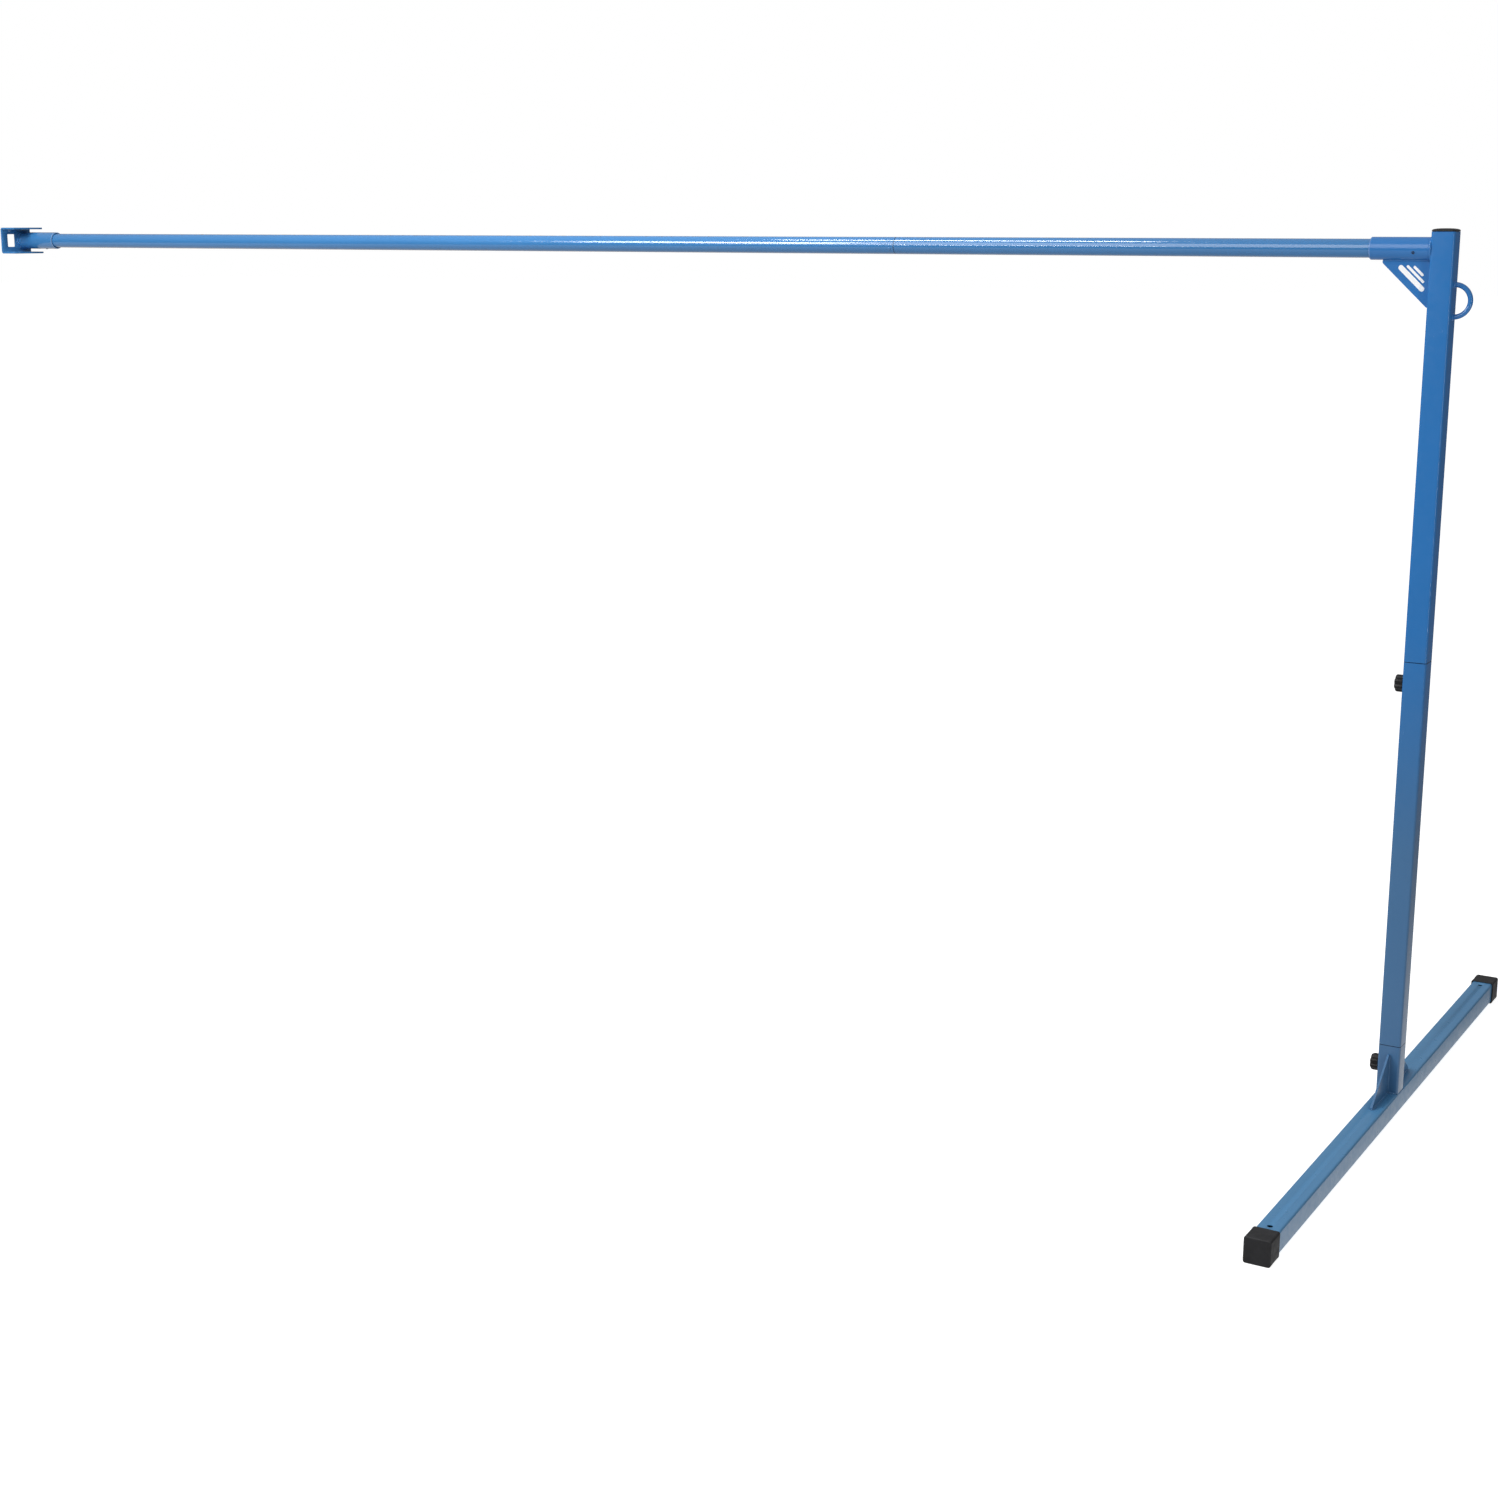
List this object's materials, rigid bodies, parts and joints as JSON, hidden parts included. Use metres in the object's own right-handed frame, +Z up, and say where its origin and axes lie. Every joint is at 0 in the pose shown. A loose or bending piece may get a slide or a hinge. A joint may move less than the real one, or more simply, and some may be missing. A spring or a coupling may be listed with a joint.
{
  "type": "overhead bar frame bay",
  "caption": "Long round overhead bar on a square take-apart post with a straight foot, clamp knobs, corner gusset, tie loop and a hooked end bracket.",
  "frame": {"origin": "the floor point under the middle of the post", "axes": "+Z up; the bar runs from the post towards -X; the foot runs along Y; -Y is the front, the side that the end bracket reaches further towards"},
  "size_m": [4.3388, 1.87, 1.9812],
  "materials": {
    "frame_paint": "satin blue powder coat",
    "bar_paint": "satin blue powder coat",
    "spigot_paint": "satin blue powder coat, inside the joints",
    "knob_plastic": "black moulded nylon",
    "cap_rubber": "black moulded rubber",
    "zinc_steel": "zinc plated",
    "dark_steel": "black oxide"
  },
  "bodies": {
    "foot_base": {"foot_beam": "frame_paint", "foot_cap_front": "cap_rubber", "foot_cap_rear": "cap_rubber", "foot_stub": "frame_paint", "stub_gusset_front": "frame_paint", "stub_gusset_rear": "frame_paint", "lower_knob_nut": "zinc_steel"},
    "lower_washer": {"lower_knob_washer": "zinc_steel"},
    "lower_knob": {"lower_knob": "knob_plastic", "lower_knob_stud": "zinc_steel"},
    "lower_post": {"lower_post": "frame_paint", "lower_spigot": "spigot_paint", "upper_knob_nut": "zinc_steel"},
    "upper_washer": {"upper_knob_washer": "zinc_steel"},
    "upper_knob": {"upper_knob": "knob_plastic", "upper_knob_stud": "zinc_steel"},
    "upper_post": {"upper_post": "frame_paint", "upper_spigot": "spigot_paint", "post_cap": "knob_plastic", "bar_sleeve": "frame_paint", "corner_gusset": "frame_paint", "tie_loop": "frame_paint", "sleeve_set_screw": "dark_steel"},
    "bar_right": {"bar_section_right": "bar_paint"},
    "bar_left": {"bar_section_left": "bar_paint", "bar_ferrule": "spigot_paint", "ferrule_rivet_front": "zinc_steel", "ferrule_rivet_rear": "zinc_steel"},
    "end_bracket": {"bracket_channel": "frame_paint", "bracket_sleeve": "frame_paint", "bracket_set_screw": "dark_steel"}
  },
  "joints": [
    {"name": "lower_knob_travel", "type": "slide", "parent": "foot_base", "child": "lower_washer", "axis": [-1, 0, 0], "range_m": [0, 0.00375]},
    {"name": "lower_knob_turn", "type": "hinge", "parent": "lower_washer", "child": "lower_knob", "pos_m": [-0.025, 0, 0.1141], "axis": [-1, 0, 0], "range_deg": [0, 1080]},
    {"name": "lower_post_lift", "type": "slide", "parent": "foot_base", "child": "lower_post", "axis": [0, 0, 1], "range_m": [0, 0.095]},
    {"name": "upper_knob_travel", "type": "slide", "parent": "lower_post", "child": "upper_washer", "axis": [-1, 0, 0], "range_m": [0, 0.00375]},
    {"name": "upper_knob_turn", "type": "hinge", "parent": "upper_washer", "child": "upper_knob", "pos_m": [-0.025, 0, 1.0004], "axis": [-1, 0, 0], "range_deg": [0, 1080]},
    {"name": "upper_post_lift", "type": "slide", "parent": "lower_post", "child": "upper_post", "axis": [0, 0, 1], "range_m": [0, 0.095]},
    {"name": "bar_pull_out", "type": "slide", "parent": "upper_post", "child": "bar_right", "axis": [-1, 0, 0], "range_m": [0, 0.127]},
    {"name": "bar_joint_pull", "type": "slide", "parent": "bar_right", "child": "bar_left", "axis": [-1, 0, 0], "range_m": [0, 0.1]},
    {"name": "bracket_pull_off", "type": "slide", "parent": "bar_left", "child": "end_bracket", "axis": [-1, 0, 0], "range_m": [0, 0.13]}
  ],
  "couplings": [
    {"joint": "lower_knob_turn", "follows": "lower_knob_travel", "rad_per_m": 5026.5},
    {"joint": "upper_knob_turn", "follows": "upper_knob_travel", "rad_per_m": 5026.5}
  ]
}
